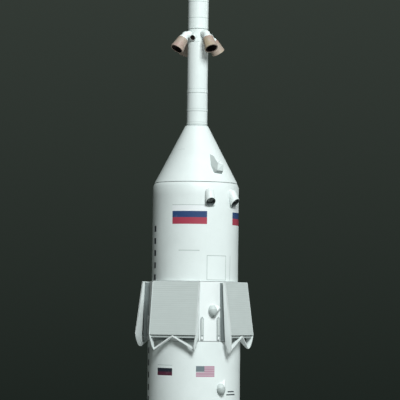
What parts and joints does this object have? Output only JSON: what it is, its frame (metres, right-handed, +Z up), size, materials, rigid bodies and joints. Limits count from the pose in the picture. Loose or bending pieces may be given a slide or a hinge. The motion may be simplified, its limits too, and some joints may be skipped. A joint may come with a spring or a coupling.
{
  "type": "card scale model of a three-stage crew rocket",
  "caption": "Slender white and grey-green card model of a crew launch rocket: escape tower, fairing with folded grid fins, third stage, lattice, core and strap-on boosters.",
  "frame": {"origin": "on the floor under the core's axis, at the height of the nozzle rims that the model stands on", "axes": "+Z up along the rocket's axis; the boosters and, within 2 degrees, the grid fins lie along +X, -X, +Y and -Y; the picture looks from between -Y and +X, 25 degrees round from -Y"},
  "size_m": [0.2146, 0.2146, 1.0308],
  "materials": {
    "white_card": "matt white card with a soft sheen",
    "grey_card": "matt grey printed card",
    "green_card": "matt grey-green printed card",
    "orange_card": "matt orange-brown printed card",
    "copper_card": "matt copper-coloured printed card",
    "dark_card": "matt dark grey printed card"
  },
  "bodies": {
    "root": {"tower_nose": "white_card", "tower_upper": "white_card", "escape_collar": "white_card", "tower_lower": "white_card", "fairing_cone": "white_card", "periscope_cover": "white_card", "fairing_upper": "white_card", "fin_band": "white_card", "fairing_lower": "white_card", "fairing_adapter": "white_card", "escape_nozzle_1": "copper_card", "scoop_1": "white_card", "fin_tray_1": "grey_card", "booster_1_nose": "white_card", "booster_1_body": "green_card", "booster_1_skirt": "orange_card", "booster_1_fin": "grey_card", "booster_1_engine": "copper_card", "escape_nozzle_2": "copper_card", "scoop_2": "white_card", "fin_tray_2": "grey_card", "booster_2_nose": "white_card", "booster_2_body": "green_card", "booster_2_skirt": "orange_card", "booster_2_fin": "grey_card", "booster_2_engine": "copper_card", "escape_nozzle_3": "copper_card", "scoop_3": "white_card", "fin_tray_3": "grey_card", "booster_3_nose": "white_card", "booster_3_body": "green_card", "booster_3_skirt": "orange_card", "booster_3_fin": "grey_card", "booster_3_engine": "copper_card", "escape_nozzle_4": "copper_card", "scoop_4": "white_card", "fin_tray_4": "grey_card", "booster_4_nose": "white_card", "booster_4_body": "green_card", "booster_4_skirt": "orange_card", "booster_4_fin": "grey_card", "booster_4_engine": "copper_card", "band_thruster_1": "white_card", "fairing_thruster_1": "white_card", "core_duct_1": "green_card", "band_thruster_2": "white_card", "fairing_thruster_2": "white_card", "core_duct_2": "green_card", "third_stage": "green_card", "third_stage_duct": "green_card", "third_stage_engine": "dark_card", "lattice_interstage": "grey_card", "core_upper": "green_card", "core_belt": "grey_card", "core_lower": "green_card", "core_flare": "green_card", "core_engine": "copper_card"}
  },
  "joints": []
}
